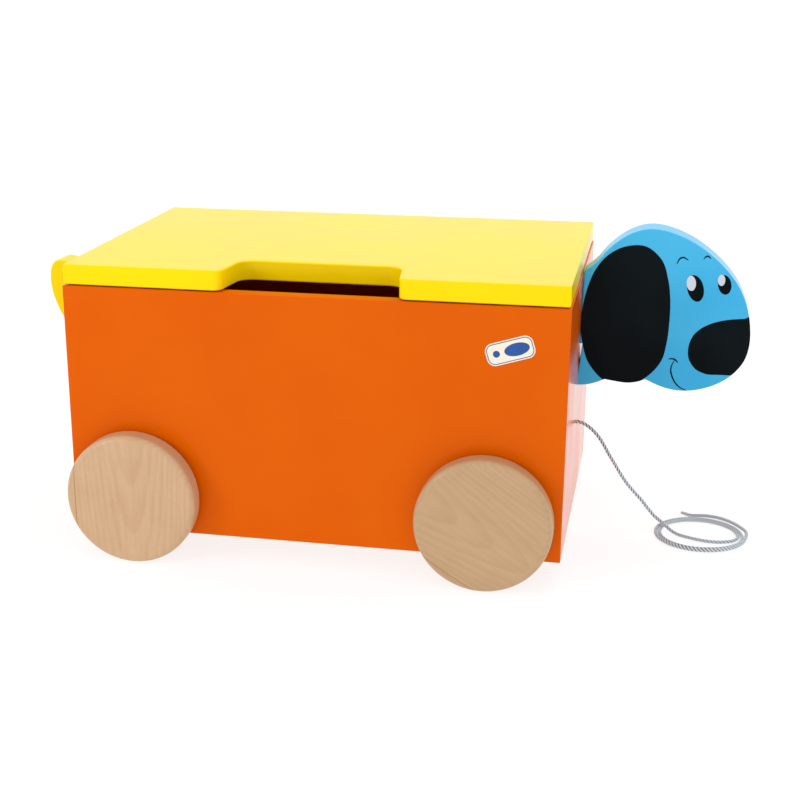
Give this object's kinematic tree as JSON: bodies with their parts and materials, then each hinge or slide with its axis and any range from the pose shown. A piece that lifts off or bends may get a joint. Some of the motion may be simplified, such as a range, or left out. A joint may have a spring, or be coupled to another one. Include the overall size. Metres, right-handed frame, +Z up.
{
  "type": "toy box on wheels",
  "caption": "Wooden pull-along toy box in the shape of a dog: hinged lid with a hand notch, rolling wheels, flat head and tail boards and a pull cord.",
  "frame": {"origin": "on the ground, under the middle of the object's bounding box without the cord", "axes": "+X towards the dog's nose, +Y towards the lid's hinges, +Z up"},
  "size_m": [0.6896, 0.356, 0.2962],
  "materials": {
    "orange_lacquer": "glossy orange lacquer",
    "yellow_lacquer": "glossy yellow lacquer",
    "blue_lacquer": "glossy light blue lacquer with black painted features",
    "beech_wood": "clear satin varnish",
    "floor_board": "plain plywood",
    "dowel_wood": "plain beech",
    "label_film": "printed film",
    "white_nylon": "satin",
    "zinc_steel": "zinc plated",
    "bumper_rubber": "matt",
    "grey_cord": "twisted grey cord"
  },
  "bodies": {
    "box": {"right_side_panel": "orange_lacquer", "left_side_panel": "orange_lacquer", "front_end_panel": "orange_lacquer", "rear_end_panel": "orange_lacquer", "floor_panel": "floor_board", "corner_dowels": "dowel_wood", "head_board": "blue_lacquer", "head_screws": "zinc_steel", "tail_board": "yellow_lacquer", "tail_screws": "zinc_steel", "side_label": "label_film", "front_right_bush": "white_nylon", "front_left_bush": "white_nylon", "rear_right_bush": "white_nylon", "rear_left_bush": "white_nylon", "front_hinge_box_leaf": "zinc_steel", "rear_hinge_box_leaf": "zinc_steel", "front_hinge_pin": "zinc_steel", "rear_hinge_pin": "zinc_steel", "hinge_box_screws": "zinc_steel", "stopper_knot": "grey_cord", "pull_cord": "grey_cord", "cord_coil": "grey_cord", "cord_tip": "grey_cord"},
    "lid": {"lid_panel": "yellow_lacquer", "lid_bumpers": "bumper_rubber", "front_hinge_lid_leaf": "zinc_steel", "rear_hinge_lid_leaf": "zinc_steel", "hinge_lid_screws": "zinc_steel"},
    "front_wheelset": {"front_axle_rod": "zinc_steel", "front_right_wheel": "beech_wood", "front_left_wheel": "beech_wood"},
    "rear_wheelset": {"rear_axle_rod": "zinc_steel", "rear_right_wheel": "beech_wood", "rear_left_wheel": "beech_wood"}
  },
  "joints": [
    {"name": "lid_hinge", "type": "hinge", "parent": "box", "child": "lid", "pos_m": [-0.04, 0.1576, 0.2525], "axis": [-1, 0, 0], "range_deg": [0, 105]},
    {"name": "front_axle_spin", "type": "hinge", "parent": "box", "child": "front_wheelset", "pos_m": [0.118, 0, 0.061], "axis": [0, 1, 0], "continuous": true},
    {"name": "rear_axle_spin", "type": "hinge", "parent": "box", "child": "rear_wheelset", "pos_m": [-0.203, 0, 0.061], "axis": [0, 1, 0], "continuous": true}
  ]
}
